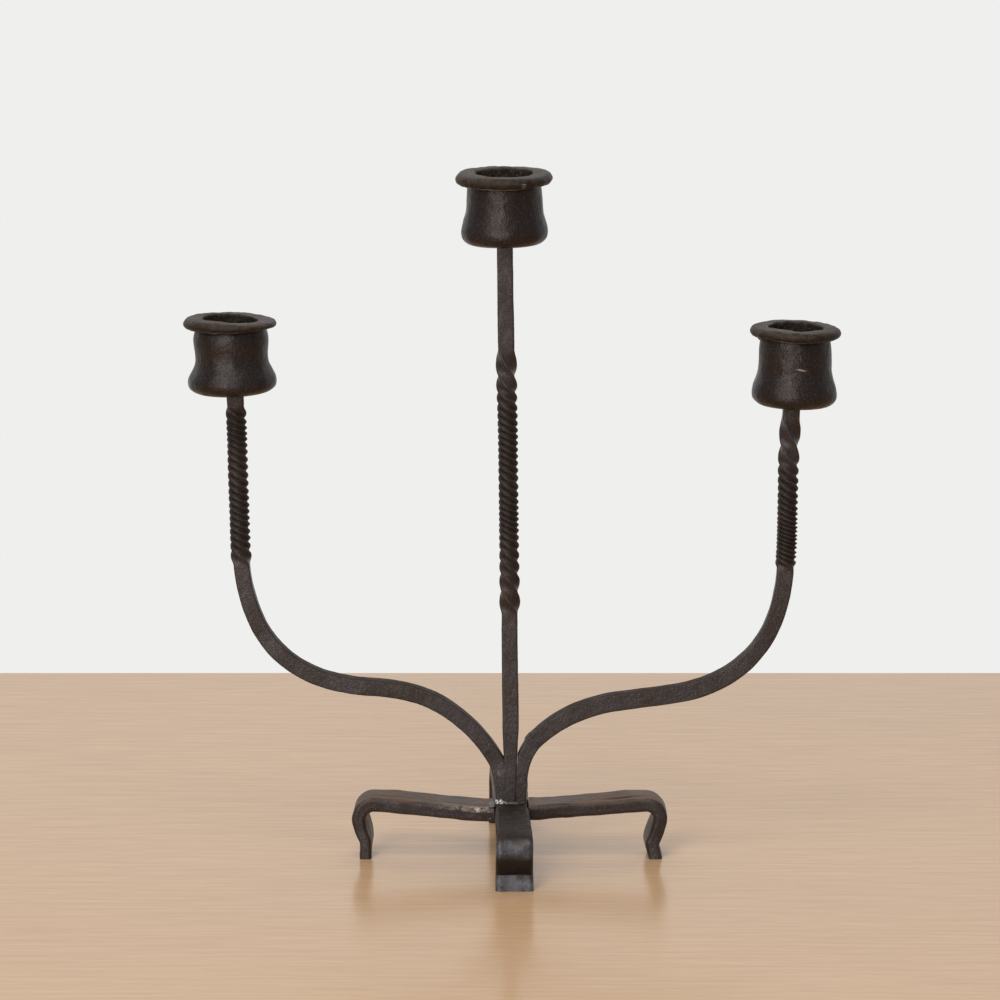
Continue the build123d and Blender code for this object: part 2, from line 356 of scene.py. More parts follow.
def walk(trail, length, at):
    """Positions and unit directions at distances along a trail of points."""
    behind, place, ahead = (np.stack([np.interp(at + d, length, column) for column in trail.T], -1)
                            for d in (-0.4, 0, 0.4))
    return place, unit(ahead - behind)


def blur(values, spacing, width):
    """A moving bell-shaped average; the ends are held."""
    reach = int(3 * width / spacing) + 1
    weights = bell(np.arange(-reach, reach + 1) * spacing, 0, width)
    return np.convolve(np.pad(values, reach, mode="edge"), weights / weights.sum(), mode="valid")


print("section and path helpers ready")

# %% [markdown]
# ## Where the cups sit
#
# The record states each candle socket as a bore: its middle, its axis and its length. The
# underside of a cup lies half that length and the thickness of the cup's floor below the middle,
# and everything on that cup is measured from there, along the socket's own leaning axis.

# %% Seats
CUP_FLOOR = 4.0


def seat_of(side):
    """Origin in mm and axis of the cup seat, from the socket that the record states."""
    mount = next(m for m in frame["record"]["mounts"] if m["name"] == f"{side}_candle_socket")
    axis = np.array(mount["axis"], float)
    middle = np.array(mount["pos_m"], float) / MM
    return middle - axis * (mount["dims"]["length_mm"] / 2 + CUP_FLOOR), axis


seats = {side: seat_of(side) for side in ("centre", "left", "right")}
base_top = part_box("centre_stem")[0].z / MM
for side, (origin, axis) in seats.items():
    print(side, "cup seat at", origin.round(1), "mm")
print("bars stand on the base at", round(base_top, 2), "mm")

# %% [markdown]
# ## The twisted bars
#
# The smith heated a square bar, held one end in the vice and turned the other. The tighter turns
# are where the iron was hottest, so no two turns are alike. A Simple Deform modifier would twist a
# bar too, but at one even rate. Here the twist is stored as the heights at which a corner faces
# the front, one quarter turn apart, and the angle between them is read off and blurred a little.
# Where the turns are tight the corners are rounder, and a fine crease runs along each of them.
# The grooves and creases of the twists, and the upward faces where a bar is not twisted, are painted in
# shade.

# %% Twist tables
BAR = 6.3
TIGHT_FROM, TIGHT_SPAN = 0.12, 0.16    # quarter turns in a millimetre
CORNER_RADIUS, TIGHT_ROUNDING = 0.65, 0.75    # mm, and how much a tight turn adds
CREASE_DEPTH = 0.2
TWISTS = {    # the height where the twist starts, those of its crests, and that where it ends
    "centre": (206.9, [
        201.3, 192.7, 187.9, 183.8, 180.7, 177.6, 174.8, 172.2, 169.6, 166.9, 164.3, 161.5, 158.6,
        155.4, 151.9, 148.6, 145.8, 143.2, 140.9, 138.7, 136.4, 134.1, 131.2, 128.1, 124.1, 119.3,
        113.7, 104.9], 100.7),
    "left": (184.2, [
        181.4, 178.2, 175.8, 173.6, 171.3, 168.9, 166.1, 163.1, 160.0, 156.7, 153.2, 150.1, 147.3,
        144.5, 141.8, 139.3, 136.7, 133.9, 131.0, 128.2, 124.2], 121.2),
    "right": (179.5, [
        173.4, 163.1, 158.0, 154.4, 151.1, 148.2, 145.5, 143.1, 140.8, 138.8, 137.1, 135.4, 133.8,
        132.1, 130.5, 129.0, 127.1, 125.2, 123.3, 121.3], 119.6),
}


def twist(side, height):
    """Angle in radians at each height, and how many quarter turns there are to a millimetre."""
    start, crests, end = TWISTS[side]
    heights = np.array([start, *crests, end])
    turns = np.array([0, *(np.arange(len(crests)) + 0.5), len(crests)])
    fine = np.arange(end - 12, start + 12, 0.1)
    smooth = blur(np.interp(fine, heights[::-1], turns[::-1]), 0.1, 0.9)
    rate = blur(np.abs(np.gradient(smooth, 0.1)), 0.1, 1.5)
    return np.interp(height, fine, smooth) * np.pi / 2, np.interp(height, fine, rate, 0, 0)


def square_bar(side, middle, way, wide, seed):
    """Rings of a square bar along a path in the upright plane.

    A point of the section is turned by the twist's angle and set off from the middle line,
    then moved along its normal by dents and waves, and inwards along the creases.
    """
    signs, leans, corner = section(9, 9, 9)
    angle, rate = twist(side, middle[:, 2])
    tight = np.clip((rate - TIGHT_FROM) / TIGHT_SPAN, 0, 1)
    crease = tight[:, None] * corner**8
    size = 1.01 + 0.045 * tight
    radius = (CORNER_RADIUS + TIGHT_ROUNDING * tight)[:, None, None]
    u, v = turned(rounded_box(signs, leans, wide * size, BAR * size, radius), angle)
    out = np.stack([way[:, 2], 0 * way[:, 0], -way[:, 0]], -1)
    rings = middle[:, None] + u[..., None] * out[:, None]
    rings[..., 1] += v
    plain = np.clip(1 - rate / 0.06, 0, 1)[:, None]
    dents = hammer(rings, 6.5, seed) - 0.5
    uneven = 0.07 * dents * plain + 0.05 * ripple(rings, 12, seed + 1)
    uneven = uneven + 0.03 * ripple(rings, 2.5, seed + 2)
    rings = rings + outward(rings) * (uneven - CREASE_DEPTH * crease)[..., None]
    groove = tight[:, None] * (1 - np.minimum(*np.abs(signs).T) ** 2)
    upper = np.clip(outward(rings)[..., 2] * 1.6 - 0.4, 0, 1)
    # The dark mark is painted shade in the twist's grooves and creases and on upward faces where the bar is
    # not twisted; the brown on twisted stretches is their own tone.
    marks = {"edge": corner * (1 - tight[:, None]),
             "upper": upper * (1 - 0.6 * tight[:, None]),
             "brown_and_painted_light": 0.5 * (1 - plain),
             "dirt_and_painted_shade": np.maximum(np.maximum(groove, crease), 0.9 * upper * plain)}
    return rings, marks


def rows_between(start, end, fine_start, fine_end, coarse=0.55, fine=0.19):
    """Distances along a bar, closer together where it is twisted."""
    return np.concatenate([np.arange(start, fine_start, coarse), np.arange(fine_start, fine_end, fine),
                           np.arange(fine_end, end, coarse), [end]])


print("quarter turns:", {side: len(t[1]) for side, t in TWISTS.items()})

# %% [markdown]
# ## The centre bar
#
# It rises straight from the crossing with a slight lean to the left. Its foot is drawn down from
# side to side where the two arms are scarfed against it, so its width there is a short ramp.

# %% Centre bar
STEM_FOOT_WIDTH = 3.4
STEM_TAPER = 31.0
FOOT_SINK = 0.5     # how far the bars' feet reach down inside the base and its weld
SEAT_SINK = 0.3     # how far a bar's top reaches up inside its cup

origin, axis = seats["centre"]
length = (origin[2] - base_top) / axis[2]
start, _, end = TWISTS["centre"]
rows = rows_between(-FOOT_SINK, length + SEAT_SINK, end - base_top - 4, start - base_top + 4)
middle = origin + (rows - length)[:, None] * axis
bow = [(0, 0), (18, -0.2), (34, 0.1), (72, 0.1), (82, 0.35), (108, 0.4), (150, 0.5), (170, 0.25),
       (228, 0.2)]
middle[:, 0] += blur(np.interp(rows, *zip(*bow)), 0.4, 3)
way = np.broadcast_to(axis, middle.shape)
taper = np.clip(rows / STEM_TAPER, 0, 1)
wide = STEM_FOOT_WIDTH + (BAR - STEM_FOOT_WIDTH) * taper + 0.15 * np.sin(rows / 23)
rings, marks = square_bar("centre", middle, way, wide, 11)
stem = skin("centre_bar", rings, marks, stands_for=["centre_stem"])

# %% [markdown]
# ## The arms
#
# Each arm is one square bar: scarfed foot, an S-bend, and a twisted upright. A curve object with
# a bevel could make the bend, but not the twist and the flat foot. Its foot is flat where it lies
# against the centre bar, so every point that would pass that flank is brought back onto it. On the
# left the weld has run the two bars together; on the right a fine dark seam is left between them.

# %% Arms
WELD_MARK = (-4.3, 35.4)    # a bright spot beside the left arm's foot
ARMS = {
    "left": dict(
        turn=-1, foot=(2.73, 21.6), heel=(4.8, 37.2), shoulder=(23.6, 68.9), elbow=(107.4, 70.3),
        radii=(20, 57, 50.5), seam=-0.5, seed=21,
        bow=[(34, 0), (40, -0.1), (52, 0.45), (76, 0.1), (82, 0.6), (90, 1.0), (100, 0.7), (118, 0.1),
             (127, 0.1), (142, 0.9), (150, 1.0), (158, 0.5), (166, 0.1), (200, 0.3), (214, 0.5),
             (232, 0.4)],
        swell=[(28, 0), (46, 0.5), (52, 0.7), (100, 0.75), (112, 0.55), (124, 0.1), (150, 0), (160, 0.2)]),
    "right": dict(
        turn=1, foot=(2.39, 21.6), heel=(4.1, 42.0), shoulder=(21.3, 61.1), elbow=(108.6, 73.8),
        radii=(27, 57, 50.5), seam=0.12, seed=31,
        bow=[(34, 0.1), (46, -0.1), (58, 0.3), (76, 0.3), (92, 0.55), (106, 0.35), (118, 0.65),
             (128, 0.85), (140, 0.6), (148, 0.3), (155, -0.2), (162, -0.2), (172, 0.25), (180, 0.4),
             (200, 0), (213, -0.35), (222, -0.4), (236, 0)],
        swell=[(28, 0.3), (46, 0.7), (94, 0.6), (124, 0.6), (134, 0.1), (150, 0), (166, 0.3)]),
}


def flank_of_stem(turn, height):
    """Sideways place of the centre bar's flank: its lean, plus half its width at that height."""
    rise, axis = height - base_top, seats["centre"][1]
    width = STEM_FOOT_WIDTH + (BAR - STEM_FOOT_WIDTH) * rise / STEM_TAPER
    return rise * axis[0] / axis[2] + turn * width / 2


def arm(side, turn, foot, heel, shoulder, elbow, radii, seam, seed, bow, swell):
    """A square bar along straights joined by arcs; on its inner side it stops at the stem's flank.

    bow and swell are (distance, amount) keys: how far the bar wanders, and how much wider it is.
    """
    seat, axis = seats[side]
    corners = [(turn * x, z) for x, z in (foot, heel, shoulder, elbow)]
    trail, length = rounded_path([*corners, (seat + axis * SEAT_SINK)[[0, 2]]], radii)
    start, _, end = TWISTS[side]
    # the last points of the trail only rise, so a height can be looked up among them
    fine_from, fine_to = (np.interp(z, trail[-40:, 1], length[-40:]) for z in (end - 4, start + 4))
    rows = rows_between(0, length[-1], fine_from, fine_to)
    flat, flat_way = walk(trail, length, rows)
    fine = np.arange(0, length[-1] + 1, 0.5)
    wander, more = (np.interp(rows, fine, blur(np.interp(fine, *zip(*keys)), 0.5, 4))
                    for keys in (bow, swell))
    flat = flat + wander[:, None] * np.stack([flat_way[:, 1], -flat_way[:, 0]], -1)
    middle = np.stack([flat[:, 0], 0 * rows, flat[:, 1]], -1)
    way = np.stack([flat_way[:, 0], 0 * rows, flat_way[:, 1]], -1)
    wide = np.interp(rows, [0, 20, 60], [6.0, 5.7, BAR]) + more
    rings, marks = square_bar(side, middle, way, wide, seed)
    if side == "left":
        from_mark = np.hypot(rings[..., 0] - WELD_MARK[0], rings[..., 2] - WELD_MARK[1])
        marks["bare_metal_and_highlight"] = 0.4 * bell(from_mark, 1.2, 0.45) * (rings[..., 1] < -2)
    limit = flank_of_stem(turn, rings[..., 2]) + turn * seam
    inside = turn * rings[..., 0] < turn * limit
    rings[..., 0] = np.where(inside, limit, rings[..., 0])
    return skin(f"{side}_arm_bar", rings, marks, stands_for=[f"{side}_arm"])


arms = {side: arm(side, **sizes) for side, sizes in ARMS.items()}

# %% [markdown]
# ## The base
#
# Two flat bars are halved into each other, and their ends are bent down and flicked straight at
# the toes. The two halves of a hand-made bar differ, so each has its own corners, from its toe
# to the crossing. Both bars are the same surface: a rounded rectangle carried along a path in an
# upright plane. The notch of the halving is cut by holding the points inside it down, or up, to
# the level where the bars meet.

# %% A flat bar
HALVING_LEVEL = 19.4
STRAP_THICK = 5.4
KNEE_HEIGHT = 22.8
FOLD_DEPTH = 0.4


def strap(name, heading, near, far, widths, depths, rolls, bows, notch, hold, seed, node, worn):
    """A rounded rectangle carried from the near toe to the far toe, with (distance, value) keys.

    rolls turn the section about the middle line and bows lift it. hold picks the lower or the
    higher of a point and the notch's level, and worn gives the marks.
    """
    trail, length = rounded_path([(-u, z) for u, z, _ in near] + [(u, z) for u, z, _ in far[::-1]],
                                 [r for _, _, r in near[1:]] + [r for _, _, r in far[::-1][:-1]])
    middle_at = np.interp(0, trail[:, 0], length)
    # a pair of close rows at each edge of the notch makes its shoulder upright
    edges = [middle_at + at + beside for at in notch for beside in (-0.06, 0.06)]
    rows = np.sort([*np.arange(0, length[-1], 0.45), length[-1], *edges])
    flat, flat_way = walk(trail, length, rows)
    from_middle = rows - middle_at

    def read(pairs):
        """The keyed value at each row, softened over a few millimetres."""
        reach = np.arange(-100, 100, 0.5)
        return np.interp(from_middle, reach, blur(np.interp(reach, *zip(*pairs)), 0.5, 2.5))

    wide, thick, roll = read(widths), read(depths), np.radians(read(rolls))
    signs, leans, corner = section(26, 9, 5)
    u, v = turned(rounded_box(signs, leans, wide, thick, 0.27 * thick[:, None, None]), roll)
    heading = np.array([*heading, 0.0])
    side = np.cross(heading, [0, 0, 1])
    up = -flat_way[:, 1:] * heading + flat_way[:, :1] * np.array([0, 0, 1])
    line = flat[:, :1] * heading + flat[:, 1:] * np.array([0, 0, 1]) + read(bows)[:, None] * up
    rings = line[:, None] + u[..., None] * side + v[..., None] * up[:, None]
    uneven = 0.17 * (hammer(rings, 7.5, seed) - 0.5) + 0.12 * ripple(rings, 18, seed + 1)
    uneven += 0.02 * ripple(rings, 3, seed + 2)
    wear = worn(rings, from_middle[:, None], signs, leans)
    rings = rings + outward(rings) * (uneven - FOLD_DEPTH * wear.pop("fold", 0))[..., None]
    cut = ((from_middle > notch[0]) & (from_middle < notch[1]))[:, None]
    rings[..., 2] = np.where(cut, hold(rings[..., 2], HALVING_LEVEL), rings[..., 2])
    rings[..., 2] = np.maximum(rings[..., 2], 0)
    rings[0, :, 2] = rings[-1, :, 2] = 0    # the toes stand flat
    upper = np.clip(outward(rings)[..., 2] * 1.6 - 0.4, 0, 1)
    return skin(name, rings, {"edge": corner, "upper": upper, **wear}, sharp=42, stands_for=[node])


print("base bars are", STRAP_THICK, "mm thick and meet at a height of", HALVING_LEVEL, "mm")

# %% [markdown]
# ## Wear on the base
#
# The base is where the piece is gripped and where the forge's scale stayed on. Each mark is a
# number from 0 to 1 at every point, made of bells and ramps along the bar and across it. Painting
# them by hand would work too, but a formula can be moved when the bar changes.
# Some of these marks paint light and shade: a highlight along an edge and on the front foot's bend and toe,
# shade on that foot and in a fold, and a warm reflection on the legs' inner faces.

# %% Marks on the base bars
def side_bar_wear(rings, along, signs, leans):
    """Painted edge highlight by the crossing, warm painted reflection inside, a dark streak and a shaded
    fold on top.
    """
    front_top = (signs[:, 0] > 0.9) * (signs[:, 1] > 0.9)
    # A painted highlight along the upper front edge, left of the crossing.
    painted_edge_highlight = (bell(along, -14, 4) + 0.35 * bell(along, -24, 4)) * front_top
    # The inner faces of the legs get a warm painted reflection.
    inner = (np.abs(along) > 62) * (leans[:, 1] < 0)
    top_face = (signs[:, 1] > 0.9) * (np.abs(along) > 10)
    left_streak = 0.5 * bell(signs[:, 0], 0.45, 0.16) * (along < 0) * (0.6 + 0.4 * ripple(rings, 14, 43))
    # The fold's dark line is painted shade; the streak on the left is dirt.
    right_fold = bell(signs[:, 0], 0.5, 0.12) * bell(along, 46, 5)
    streak = np.clip(left_streak + right_fold, 0, 1) * top_face
    return {"bare_metal_and_highlight": painted_edge_highlight, "brown_and_painted_light": 1.0 * inner, "dirt_and_painted_shade": streak, "fold": right_fold * top_face}


def cross_bar_wear(rings, along, signs, leans):
    """The front foot: painted shade on top and under its bend, a painted highlight on its bend and toe, a
    warm painted reflection inside, and waxed.
    """
    inner, above = (np.abs(along) > 62) * (leans[:, 1] < 0), leans[:, 1] > 0.2
    # Painted shade on the foot's top and on the face under its bend; a painted highlight on the bend and
    # the toe; a warm painted reflection on the legs' inner faces.
    top = np.clip((along + 58.5) / 2.5, 0, 1) * np.clip((-2 - along) / 3, 0, 1)
    shaded = np.clip((5.3 - np.abs(along + 66.2)) / 2, 0, 1)
    flick = np.clip((-70.5 - along) / 1.5, 0, 1)
    return {"brown_and_painted_light": np.maximum(inner, top * above),
            "dirt_and_painted_shade": np.maximum(0.65 * top, shaded) * above,
            "painted_highlight": (flick + bell(along, -59.5, 1.6)) * above,
            "wax": 0.6 * np.maximum(bell(along, -59.5, 2.5), shaded) * above}


print("marks for the base bars ready")

# %% [markdown]
# ## The two base bars
#
# Every corner is a distance out from the crossing, a height and the radius of its bend. The
# side bar's notch is open at the top and the cross bar's at the bottom, so the second lies over the
# first and their upper faces are level.

# %% Base bars
def half_bar(toe, ankle, knee, shelf_height, crossing_height):
    """Corners of one half, from toe to crossing; toe is a distance, the others have a bend."""
    return [(toe, 0, 0), ankle, knee, (46.0, shelf_height, 40), (12.0, crossing_height, 55)]


side_left = half_bar(59.2, (58.8, 7.2, 3), (63.1, KNEE_HEIGHT, 5.8), KNEE_HEIGHT, HALVING_LEVEL - 0.2)
side_right = half_bar(58.3, (56.5, 6.2, 3), (62.4, KNEE_HEIGHT, 5.6), KNEE_HEIGHT, HALVING_LEVEL - 0.1)
side_bar = strap(
    "side_bar", (1, 0), side_left, side_right,
    widths=[(-90, 15.0), (-50, 15.5), (0, 15.5), (50, 15.5), (90, 15.0)],
    depths=[(-90, 4.7), (-77, 4.7), (-72, 5.1), (-60, 5.8), (0, 5.9), (54, 5.6), (72, 5.2), (78, 5.3),
            (82, 5.6), (86, 6.6)],
    rolls=[(-90, 0), (-77.5, 0), (-75, 2), (-72, 9), (-68, 10), (-62, 0), (-54, -4), (-8, -4), (0, -3),
           (10, -2), (18, -1), (26, -3), (54, -3), (62, 0), (67, 5), (70, 10), (72.5, 8), (75, 1), (90, 0)],
    bows=[(-60, 0), (-52, -0.1), (-45, -0.5), (-30, -0.65), (-12, -0.5), (0, 0), (12, 0.2), (21, 0.1),
          (28, -0.15), (34, -0.4), (41, -0.65), (47, -0.45), (54, 0), (60, 0)],
    notch=(-7.0, 6.9), hold=np.minimum, seed=41, node="base_bar_left_right", worn=side_bar_wear)

skew = np.radians(1.1)
cross_back = half_bar(58.9, (58.3, 6.2, 5), (63.2, KNEE_HEIGHT, 5.6), KNEE_HEIGHT, HALVING_LEVEL)
cross_front = half_bar(58.6, (55.0, 6.0, 2.2), (63.0, 19.8, 5.8), 19.6, HALVING_LEVEL)
cross_bar = strap(
    "cross_bar", (-np.sin(skew), np.cos(skew)), cross_front, cross_back,
    widths=[(-80, 15.0), (-60, 14.6), (-8, 13.4), (8, 13.6), (60, 15.4), (80, 16.0)],
    depths=[(-80, STRAP_THICK), (80, STRAP_THICK)], rolls=[(-80, 0), (80, 0)], bows=[(-80, 0), (80, 0)],
    notch=(-8.6, 8.6), hold=np.maximum, seed=51, node="base_bar_front_back", worn=cross_bar_wear)

# %% [markdown]
# ## The cups
#
# Each cup was raised from a blank and has a rounded foot, a bulge and a drawn-in waist. It is a
# turned profile that is then made uneven: the profile gives the radius and a small sideways
# shift at each height, and slow waves push the wall in and out. A Screw modifier would turn a
# profile as well, but could give it neither the shift nor the waves. One closed skin runs from the
# middle of the underside over the outside, across the lip, down the bore and over the floor to
# the peened head of the bar.

# %% Cups
BORE = 11.25
FLOOR_CURL = 0.5    # radius of the corner between bore and floor
SCRATCH_TURN, SCRATCH_HEIGHT = 277, 16.4    # on the right cup: degrees round it, mm above its seat
CUPS = {
    "centre": dict(
        keys=[(0, 12.2, 0), (0.45, 14.0, 0), (1.4, 15.6, 0), (2.8, 16.8, 0), (5.0, 17.3, 0),
              (7.2, 17.05, 0), (9.9, 16.3, 0.07), (13.1, 15.5, 0.19), (15.8, 15.2, 0.29),
              (18.0, 15.12, 0.3), (21.2, 14.95, 0.3), (23.2, 14.7, 0.3), (24.6, 14.2, 0.3)],
        ring=dict(radius=(19.2, 19.1, 19.3, 19.4), thick=(4.3, 5.0, 4.5, 4.6), sink=1.0, mouth=11.5),
        seed=61),
    "left": dict(
        keys=[(0, 12.2, -0.5), (0.5, 14.2, -0.5), (1.4, 15.9, -0.5), (2.8, 17.2, -0.5),
              (4.9, 17.6, -0.5), (6.4, 17.35, -0.5), (9.15, 16.1, -0.5), (11.9, 14.8, -0.5),
              (14.1, 14.5, -0.5), (17.3, 14.65, -0.5), (19.5, 14.95, -0.5), (21.3, 15.05, -0.5),
              (23.6, 14.85, -0.5), (26.6, 14.1, -0.5)],
        ring=dict(radius=(18.5, 18.4, 18.6, 18.5), thick=(2.3, 3.9, 4.2, 3.6), sink=0.2, mouth=11.2),
        seed=71),
    "right": dict(
        keys=[(0, 12.2, 0.75), (0.5, 14.0, 0.75), (1.5, 15.5, 0.75), (3.0, 16.7, 0.75),
              (5.0, 17.05, 0.75), (6.6, 16.9, 0.75), (8.4, 16.5, 0.75), (11.1, 15.6, 0.75),
              (14.3, 14.9, 0.68), (17.9, 14.72, 0.58), (21.9, 14.6, 0.46), (25.1, 14.4, 0.4),
              (28.0, 13.8, 0.4)],
        ring=dict(radius=(18.1, 18.3, 18.1, 18.4), thick=(3.8, 4.4, 3.8, 4.2), sink=0.5, mouth=11.1),
        seed=81),
}


def seat_frame(side, angle):
    """A seat's origin, axis and sideways direction, and the way outwards at each angle round it."""
    origin, axis = seats[side]
    sideways = np.array([axis[2], 0, -axis[0]])
    return origin, axis, sideways, np.cos(angle)[:, None] * sideways + np.sin(angle)[:, None] * [0, 1, 0]


def smooth_keys(x, keys_x, keys_y):
    """A curve through keys whose slope at each key is that of its neighbours' chord."""
    keys_x, keys_y = np.array(keys_x, float), np.array(keys_y, float)
    slope = np.gradient(keys_y, keys_x)
    k = np.clip(np.searchsorted(keys_x, x) - 1, 0, len(keys_x) - 2)
    gap = keys_x[k + 1] - keys_x[k]
    t = (x - keys_x[k]) / gap
    return ((2 * t**3 - 3 * t**2 + 1) * keys_y[k] + (t**3 - 2 * t**2 + t) * gap * slope[k]
            + (3 * t**2 - 2 * t**3) * keys_y[k + 1] + (t**3 - t**2) * gap * slope[k + 1])


def cup(side, keys, ring, seed):
    """A profile turned about the seat's axis: keys are height, radius and sideways shift."""
    height, radius, shift = (np.array(v, float) for v in zip(*keys))
    chord = np.concatenate([[0], np.cumsum(np.hypot(np.diff(height), np.diff(radius)))])
    t = np.linspace(0, chord[-1], 90)
    wall_h, wall_r, wall_s = (smooth_keys(t, chord, v) for v in (height, radius, shift))
    top = height[-1]
    under_r = np.linspace(0.5, wall_r[0], 14)[:-1]
    lip_r = np.linspace(wall_r[-1], BORE, 6)[1:-1]
    bore_h = np.linspace(top, CUP_FLOOR + FLOOR_CURL, 34)
    curl = np.linspace(0, np.pi / 2, 6)[1:]
    curl_r = BORE - FLOOR_CURL + FLOOR_CURL * np.cos(curl)
    curl_h = CUP_FLOOR + FLOOR_CURL - FLOOR_CURL * np.sin(curl)
    floor_r = np.array([9.5, 8, 6.5, 5, 3.9, 3.6, 3.15, 3.0, 2, 1, 0.4])
    floor_h = CUP_FLOOR + np.array([0, 0, 0, 0, 0, -0.05, -0.45, -0.5, -0.42, -0.38, -0.36])
    r = np.concatenate([under_r, wall_r, lip_r, 0 * bore_h + BORE, curl_r, floor_r])
    h = np.concatenate([0 * under_r, wall_h, 0 * lip_r + top, bore_h, curl_h, floor_h])
    s = np.interp(h, wall_h, wall_s)
    inside = np.arange(len(r)) >= len(under_r) + len(wall_r) + len(lip_r)
    angle = np.linspace(0, 2 * np.pi, 168, endpoint=False)
    origin, axis, sideways, out = seat_frame(side, angle)
    rings = origin + h[:, None, None] * axis + s[:, None, None] * sideways + r[:, None, None] * out
    wall = np.clip((r - 3.7) / 6, 0, 1)[:, None] * np.where(inside, 0.5, 1)[:, None]
    wall = wall * np.where(inside, 1, np.clip((top - h) / 2, 0, 1))[:, None]
    uneven = 0.17 * ripple(rings, 16, seed) + 0.10 * (hammer(rings, 6, seed + 1) - 0.5)
    uneven = uneven + 0.04 * ripple(rings, 3, seed + 2)
    rings = rings + out * (uneven * wall)[..., None]
    degrees = np.degrees(angle)
    slope = 0.04 * (degrees - SCRATCH_TURN)
    scratch = bell(degrees, SCRATCH_TURN, 4) * bell(h[:, None] + slope, SCRATCH_HEIGHT, 0.13)
    marks = {"inside": inside[:, None] * 1.0,
             # Painted shade: the underside of the cup darkens towards the bar.
             "foot": np.clip(1 - h / 3, 0, 1)[:, None] * ~inside[:, None],
             "bare_metal_and_highlight": 0.8 * scratch * ~inside[:, None] * (side == "right")}
    return skin(f"{side}_cup_body", rings, marks, stands_for=[f"{side}_cup"])


cups = {side: cup(side, **sizes) for side, sizes in CUPS.items()}

# %% [markdown]
# ## The rings
#
# A thick washer was forged, by eye, for the top of each cup. Its outline, its thickness and the
# level of its rim wander as it goes round. A torus with a squashed section would be too even. The
# surface is a rounded rectangle swept round the socket's axis, with those three as slow waves of
# the angle, and it joins up with itself.

# %% Rings
def ring(side, radius, thick, sink, mouth, seed):
    """A rounded rectangle swept round the seat's axis, its width, depth and level changing.

    radius and thick are read at the right, back, left and front, and in between by waves.
    """
    rng = np.random.default_rng(seed)
    angle = np.linspace(0, 2 * np.pi, 260, endpoint=False)

    def wander(amount, waves):
        """A sum of cosines of whole waves round the ring, scaled so that its peak is amount."""
        total = sum(rng.normal() / k**0.7 * np.cos(k * angle + rng.uniform(0, 2 * np.pi)) for k in waves)
        return amount * total / np.abs(total).max()

    def four_ways(right, back, left, front):
        """Passes through the four values at the four quarters."""
        even, odd = (right + back + left + front) / 4, (right - back + left - front) / 4
        return (even + (right - left) / 2 * np.cos(angle) + (back - front) / 2 * np.sin(angle)
                + odd * np.cos(2 * angle))

    outer = four_ways(*radius) + wander(0.2, (3, 5, 8))
    depth = four_ways(*thick) * (1 + wander(0.04, (3, 4)))
    bore = mouth + wander(0.22, (2, 3, 5, 9))
    top, _, shift = CUPS[side]["keys"][-1]
    level = top + four_ways(0, 0, 0, -sink) + wander(0.1, (2, 3))
    signs, leans, _ = section(16, 8, 8)
    width = outer - bore
    radii = np.where(signs[:, 0] > 0, 0.46, 0.2) * depth[:, None]
    box = rounded_box(signs, leans, width, depth, radii[..., None])
    droop = 0.55 * np.clip(box[..., 0] / (width[:, None] / 2), 0, 1) ** 2
    across = (outer + bore)[:, None] / 2 + box[..., 0]
    high = level[:, None] + depth[:, None] / 2 + box[..., 1] - droop * (box[..., 1] > 0)
    origin, axis, sideways, out = seat_frame(side, angle)
    rings = origin + shift * sideways + high[..., None] * axis + across[..., None] * out[:, None]
    uneven = 0.09 * hammer(rings, 4.0, seed + 1) + 0.12 * ripple(rings, 8, seed + 2)
    uneven = uneven + 0.07 * ripple(rings, 2, seed + 3)
    rings = rings + outward(rings, True) * uneven[..., None]
    outside = signs[:, 0] > 0.9
    inner_edge = (signs[:, 0] < -0.9) * (signs[:, 1] > 0.9)
    degrees = np.degrees(angle)[:, None]
    lean = np.degrees(np.arctan2(leans[:, 1], leans[:, 0]))
    # A painted highlight: a bright line along the lower front edge of the ring.
    painted_edge_highlight = outside * (signs[:, 1] < -0.9) * bell(lean, -68, 6)
    painted_edge_highlight = painted_edge_highlight * (0.5 * bell(degrees, 250, 11) + 0.3 * bell(degrees, 281, 9))
    spot = bell(degrees, 294, 1.5) * bell(signs[:, 1], -0.4, 0.28) * outside * (side == "centre")
    marks = {"edge": 0.6 * inner_edge, "rim": 1.0, "bare_metal_and_highlight": np.maximum(painted_edge_highlight, spot),
             "upper": np.clip(outward(rings, True)[..., 2] * 1.5, 0, 1),
             "inside": (leans[:, 0] < -0.9) * 1.0}
    return skin(f"{side}_cup_ring", rings, marks, looped=True, stands_for=[f"{side}_ring"])


rims = {side: ring(side, seed=sizes["seed"] + 5, **sizes["ring"]) for side, sizes in CUPS.items()}

# %% [markdown]
# ## Braze and weld
#
# Braze was run into the corner under each ring, and the three bars were welded to the base all
# round their feet. Metaballs would give lumps, but not a line that follows a joint. Both are beads:
# a small round section that follows a closed line and swells and shrinks as it goes, with a lump
# here and there.


# %% Beads
def bead(name, line, size, seed, node, marks=None):
    """A closed bead: a circle of varying size carried along a closed line of points."""
    way = unit(np.roll(line, -1, 0) - np.roll(line, 1, 0))
    side = unit(np.cross(way, [0, 0, 1]))
    up = np.cross(side, way)
    angle = np.linspace(0, 2 * np.pi, 18, endpoint=False)
    rings = line[:, None] + size[:, None, None] * (np.cos(angle)[:, None] * side[:, None]
                                                   + np.sin(angle)[:, None] * up[:, None])
    rings = rings + outward(rings, True) * (0.12 * ripple(rings, 1.6, seed))[..., None]
    return skin(name, rings, marks, looped=True, stands_for=[node])


